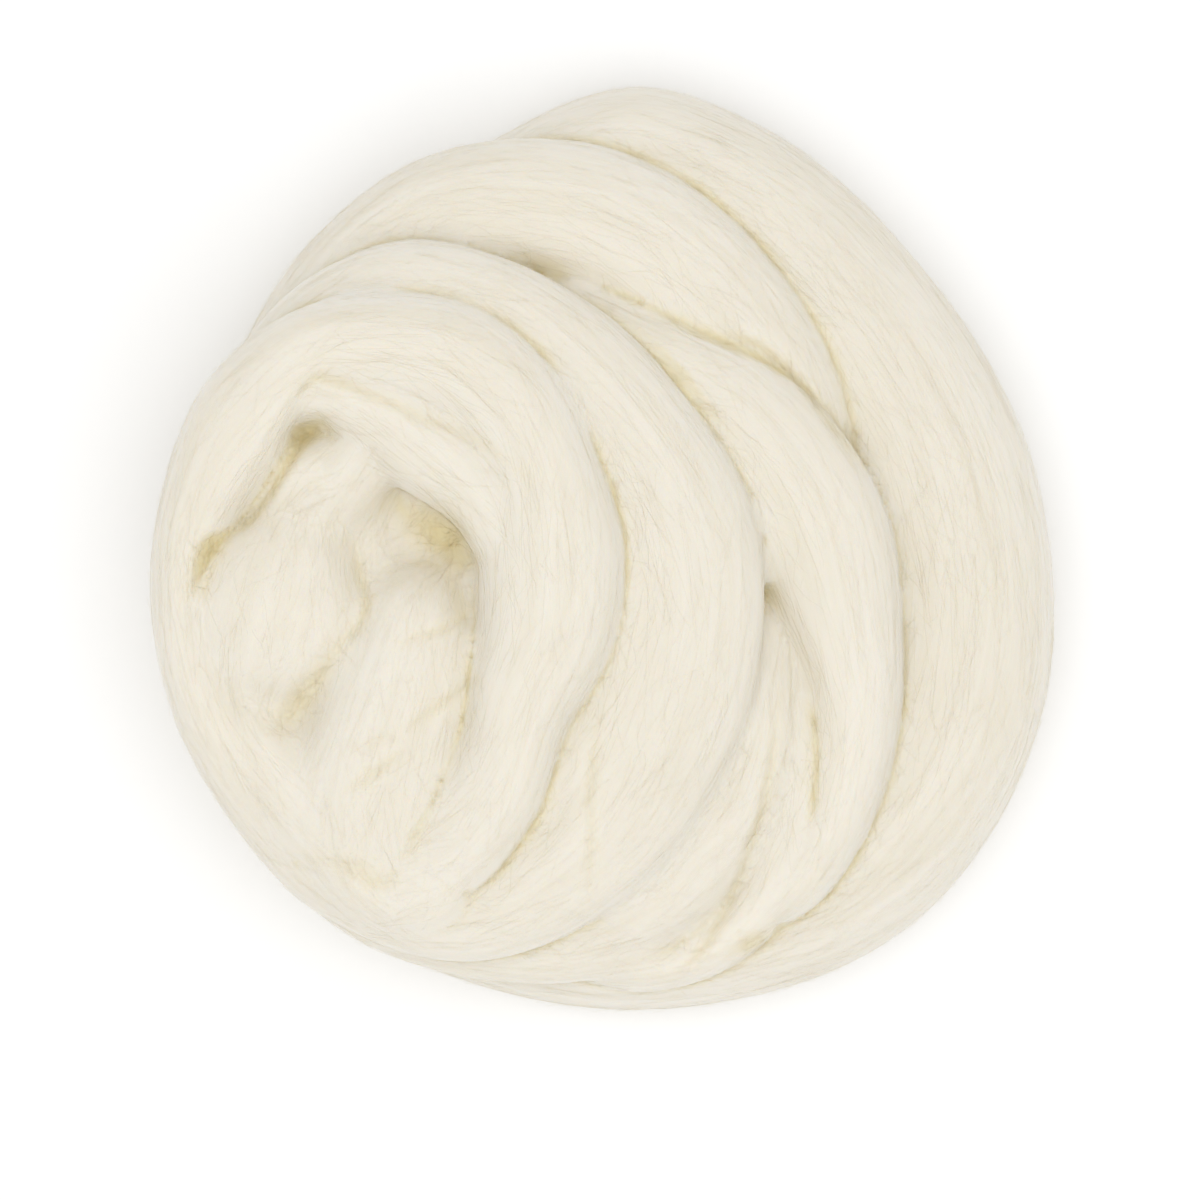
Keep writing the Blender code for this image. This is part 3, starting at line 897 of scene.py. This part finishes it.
combedFibre = {
    "perSquareMetre": 48000,
    "byEdge": 0.0,  # 1 keeps the fibres to the edges of the creases
    "shortest": 12,  # mm
    "longest": 34,
    "thickness": 0.032,  # mm, at the coarse end of wool
    "lift": 0.1,  # mm off the wool
    "stray": 0.12,  # how much their headings differ
    "wave": 0.9,  # mm
    "seed": 3,
    "count": 6,  # points along each
}
looseFibre = dict(
    combedFibre, shortest=5, longest=15, thickness=0.034, lift=0.9, stray=0.6, wave=2.6, seed=8
)
creaseFibre = dict(
    looseFibre, perSquareMetre=420000, byEdge=1.0, shortest=2.5, longest=8, lift=0.7, stray=1.0, wave=1.6,
    seed=15, count=5,
)
fibres = {"combedFibres": combedFibre, "looseFibres": looseFibre, "creaseFibres": creaseFibre}
fibreLay = {
    "lowest": 6,  # mm above the floor, no fibre roots lower
    "leastOpen": 0.12,  # openness under which none does either
    "ripple": 160.0,  # waves per m that the fibres bend with
    "rise": 0.15,  # share of the lift that a fibre has all along, and its ends have up to 1 more
    "tip": 0.2,  # thickness of the ends, as a share of the middle's
    "floor": 0.4,  # mm, no fibre dips lower than this
}


def fibreTree():
    # scatters short fibres over the wool, each bent to the surface and lying along the strand
    tree = bpy.data.node_groups.new("layFibres", "GeometryNodeTree")
    add = partial(addNode, tree)
    sockets = {
        "Geometry": ("Geometry",),
        "Float": ("perSquareMetre", "byEdge", "shortest", "longest", "thickness", "lift", "stray", "wave"),
        "Int": ("seed", "count"),
        "Material": ("material",),
    }
    for kind, names in sockets.items():
        for name in names:
            tree.interface.new_socket(name, in_out="INPUT", socket_type="NodeSocket" + kind)
    tree.interface.new_socket("Geometry", in_out="OUTPUT", socket_type="NodeSocketGeometry")
    given = add("NodeGroupInput")
    place = add("GeometryNodeInputPosition")
    openPlace, edge, loose = [
        add("GeometryNodeInputNamedAttribute", {"data_type": "FLOAT", "Name": label})
        for label in ("openness", "edge", "looseness")
    ]
    flow = add("GeometryNodeInputNamedAttribute", {"data_type": "FLOAT_VECTOR", "Name": "flow"})

    # where fibres root: above the floor, not deep between the strands, and some kinds only by a crease
    height = add("ShaderNodeSeparateXYZ", {}, {"Vector": place})
    share = add("ShaderNodeMix", {"data_type": "FLOAT", "A": 1.0}, {"Factor": (given, "byEdge"), "B": edge})
    density = add("ShaderNodeMath", {"operation": "MULTIPLY"}, {0: (given, "perSquareMetre"), 1: share})
    for measure, least in (((height, "Z"), fibreLay["lowest"] * mm), (openPlace, fibreLay["leastOpen"])):
        enough = add("ShaderNodeMath", {"operation": "GREATER_THAN", 1: least}, {0: measure})
        density = add("ShaderNodeMath", {"operation": "MULTIPLY"}, {0: density, 1: enough})
    roots = add(
        "GeometryNodeDistributePointsOnFaces",
        {},
        {"Mesh": (given, "Geometry"), "Density": density, "Seed": (given, "seed")},
    )

    # each a straight line along the wool that strays a little
    straight = add("GeometryNodeCurvePrimitiveLine", {"Start": (-0.5, 0, 0), "End": (0.5, 0, 0)})
    jointed = add("GeometryNodeResampleCurve", {}, {"Curve": straight, "Count": (given, "count")})
    sway = add(
        "FunctionNodeRandomValue",
        {"data_type": "FLOAT_VECTOR", "Min": (-1, -1, -1), "Max": (1, 1, 1)},
        {"Seed": (given, "seed")},
    )
    swayed = add("ShaderNodeVectorMath", {"operation": "SCALE"}, {0: sway, "Scale": (given, "stray")})
    heading = add("ShaderNodeVectorMath", {"operation": "ADD"}, {0: flow, 1: swayed})
    turned = add("FunctionNodeAlignRotationToVector", {"axis": "X"}, {"Vector": heading})
    length = add(
        "FunctionNodeRandomValue",
        {"data_type": "FLOAT"},
        {"Min": (given, "shortest"), "Max": (given, "longest"), "Seed": (given, "seed")},
    )
    size = add("ShaderNodeCombineXYZ", {"Y": 1.0, "Z": 1.0}, {"X": length})
    looseness = add("FunctionNodeRandomValue", {"data_type": "FLOAT", "Seed": 41}, {})
    marked = add(
        "GeometryNodeStoreNamedAttribute",
        {"data_type": "FLOAT", "domain": "POINT", "Name": "looseness"},
        {"Geometry": roots, "Value": looseness},
    )
    laid = add(
        "GeometryNodeInstanceOnPoints",
        {},
        {
            "Points": marked,
            "Instance": jointed,
            "Rotation": turned,
            "Scale": size,
        },
    )
    single = add("GeometryNodeRealizeInstances", {}, {"Geometry": laid})

    # a soft wave, then down to the surface
    ripple = add("ShaderNodeTexNoise", {"Scale": fibreLay["ripple"], "Detail": 1.0}, {"Vector": place})
    centred = add(
        "ShaderNodeVectorMath", {"operation": "SUBTRACT", 1: (0.5, 0.5, 0.5)}, {0: (ripple, "Color")}
    )
    waved = add("ShaderNodeVectorMath", {"operation": "SCALE"}, {0: centred, "Scale": (given, "wave")})
    bent = add("GeometryNodeSetPosition", {}, {"Geometry": single, "Offset": waved})
    nearest = add(
        "GeometryNodeProximity",
        {"target_element": "FACES"},
        {"Geometry": (given, "Geometry"), "Sample Position": place},
    )
    normal = add("GeometryNodeInputNormal")
    wool = add(
        "GeometryNodeSampleNearestSurface",
        {"data_type": "FLOAT_VECTOR"},
        {"Mesh": (given, "Geometry"), "Value": normal, "Sample Position": place},
    )
    along = add("GeometryNodeSplineParameter")
    centre = add("ShaderNodeMath", {"operation": "SUBTRACT", 1: 0.5}, {0: along})
    away = add("ShaderNodeMath", {"operation": "ABSOLUTE"}, {0: centre})
    ends = add("ShaderNodeMath", {"operation": "POWER", 1: 2.0}, {0: away})  # 0 to 1/4
    raised = add("ShaderNodeMath", {"operation": "MULTIPLY"}, {0: ends, 1: loose})
    rise = add("ShaderNodeMath", {"operation": "MULTIPLY_ADD", 1: 4.0, 2: fibreLay["rise"]}, {0: raised})
    lift = add("ShaderNodeMath", {"operation": "MULTIPLY"}, {0: rise, 1: (given, "lift")})
    outward = add("ShaderNodeVectorMath", {"operation": "SCALE"}, {0: wool, "Scale": lift})
    seated = add("ShaderNodeVectorMath", {"operation": "ADD"}, {0: nearest, 1: outward})
    above = add(
        "ShaderNodeVectorMath", {"operation": "MAXIMUM", 1: (-1, -1, fibreLay["floor"] * mm)}, {0: seated}
    )
    down = add("GeometryNodeSetPosition", {}, {"Geometry": bent, "Position": above})
    taper = add(
        "ShaderNodeMath", {"operation": "MULTIPLY_ADD", 1: 2 * (fibreLay["tip"] - 1), 2: 1.0}, {0: away}
    )
    thinned = add("GeometryNodeSetCurveRadius", {}, {"Curve": down, "Radius": taper})
    half = add("ShaderNodeMath", {"operation": "MULTIPLY", 1: 0.5}, {0: (given, "thickness")})
    profile = add("GeometryNodeCurvePrimitiveCircle", {"mode": "RADIUS", "Resolution": 3}, {"Radius": half})
    solid = add("GeometryNodeCurveToMesh", {"Fill Caps": True}, {"Curve": thinned, "Profile Curve": profile})
    real = add("GeometryNodeRealizeInstances", {}, {"Geometry": solid})
    finish = add("GeometryNodeSetMaterial", {}, {"Geometry": real, "Material": (given, "material")})
    add("NodeGroupOutput", {}, {"Geometry": finish})
    return tree


def layFibres(name, settings, ground, tree, material):
    # the fibres as a plain mesh of their own
    base = linked(name + "Base", ground.data.copy())
    modifier = base.modifiers.new("fibres", "NODES")
    modifier.node_group = tree
    values = dict(settings)
    for size in ("shortest", "longest", "thickness", "lift", "wave"):
        values[size] *= mm
    values["material"] = material
    for item in tree.interface.items_tree:
        if item.in_out == "INPUT" and item.name in values:
            modifier[item.identifier] = values[item.name]
    base.update_tag()
    mesh = heldMesh(base)
    mesh.name = name
    bpy.data.objects.remove(base)
    print(name, len(mesh.polygons), "faces")
    return linked(name, mesh)


coil = {
    "rings": 640,
    "sides": 96,
    "squareness": 2.15,  # 2 is a plain oval
    "seed": 11,
    "uneven": 1.0,  # share of the unevenness that shows
    "drift": 0.35,  # how the locks wander round the strand, in radians
    "driftLength": 130,  # mm
    "twist": 0.0012,  # radians for each mm
    "floorLevel": 0.0,  # mm, nothing lies lower
    "taper": 10,  # mm, length of the soft tip at each end
    "evenEnd": 12,  # mm, over which the unevenness fades towards an end
}
sideStrand = dict(coil, rings=130, sides=60, uneven=0.7, seed=31, floorLevel=0.4, taper=22)
underLayer = dict(coil, rings=160, sides=36, uneven=0.5, seed=51, floorLevel=0.2)
fold = dict(coil, rings=90, sides=96, uneven=0.8, seed=71, floorLevel=0.2, tip=0.14)

woolTopMaterial = woolMaterial("woolTop", woolTop)
strands = [windingPiece("coil", coilPole, turns, coil, woolTopMaterial)]
for number, (name, table) in enumerate(sideStrands.items()):
    settings = dict(sideStrand, seed=sideStrand["seed"] + seedStep * number)
    strands.append(windingPiece(name, coilPole, [table], settings, woolTopMaterial))
strands.append(windingPiece("underLayer", underPole, underTurns, underLayer, woolTopMaterial))
strands.append(corePiece(woolTopMaterial))
folds = []
for number, (name, table) in enumerate(knotFolds.items()):
    settings = dict(fold, seed=fold["seed"] + seedStep * number)
    folds.append(foldPiece(name, table, settings, woolTopMaterial))
print("strands laid:", sum(len(piece.data.polygons) for piece in strands + folds), "faces")
pieces = [wholeSkin(strands, folds, woolTopMaterial)]
print("made one skin:", len(pieces[0].data.polygons), "faces")

markOpenness(pieces[0].data)
print("openness marked")

ground = joinedCopy(pieces)
tree = fibreTree()
fibreMaterial = woolMaterial("singleWoolFibre", singleFibre)
for name, settings in fibres.items():
    pieces.append(layFibres(name, settings, ground, tree, fibreMaterial))
bpy.data.objects.remove(ground)

for piece in pieces:
    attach(piece, "root")
    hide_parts("roving")
print("pieces ride on the part")

studio = {
    "floor": "#FCFCFC",
    "floorSize": 4,  # m
    "floorHeight": -0.3,  # mm, so that it doesn't share a plane with the underside
    "floorRoughness": 0.9,
    "dome": 0.8,
    "key": 8.7,  # watts
    "keySize": 1.3,  # m
    "keyPlace": (0.04, -0.16, 1.5),  # m
    "keyAim": (0, 0, 0.03),
    "cameraPlace": (-1.06, -11.17),  # mm, what the camera looks straight down on
    "cameraHeight": 2.2,  # m
    "lens": 300,  # mm
    "sensor": 36,
}


def studioScene():
    scene = bpy.context.scene
    bpy.ops.mesh.primitive_plane_add(size=studio["floorSize"], location=(0, 0, studio["floorHeight"] * mm))
    floor = bpy.context.object
    floor.name = "floor"
    board = bpy.data.materials.new("paintedBoard")  # matt white board, sprayed, no grain to see
    board.use_nodes = True
    paint = board.node_tree.nodes["Principled BSDF"].inputs
    paint["Base Color"].default_value = linearColour(studio["floor"])
    paint["Roughness"].default_value = studio["floorRoughness"]
    floor.data.materials.append(board)
    world = bpy.data.worlds.new("softDome")
    world.use_nodes = True
    sky = world.node_tree.nodes["Background"].inputs
    sky["Color"].default_value = (1, 1, 1, 1)
    sky["Strength"].default_value = studio["dome"]
    scene.world = world
    light = bpy.data.lights.new("key", "AREA")
    light.size = studio["keySize"]
    light.energy = studio["key"]
    key = linked("key", light)
    key.location = studio["keyPlace"]
    towards = Vector(studio["keyAim"]) - Vector(studio["keyPlace"])
    key.rotation_euler = towards.to_track_quat("-Z", "Y").to_euler()
    camera = bpy.data.cameras.new("camera")
    camera.lens = studio["lens"]
    camera.sensor_width = studio["sensor"]
    eye = linked("camera", camera)
    x, y = studio["cameraPlace"]
    eye.location = (x * mm, y * mm, studio["cameraHeight"])
    scene.camera = eye
    scene.view_settings.view_transform = "Standard"


studioScene()
print("studio ready")
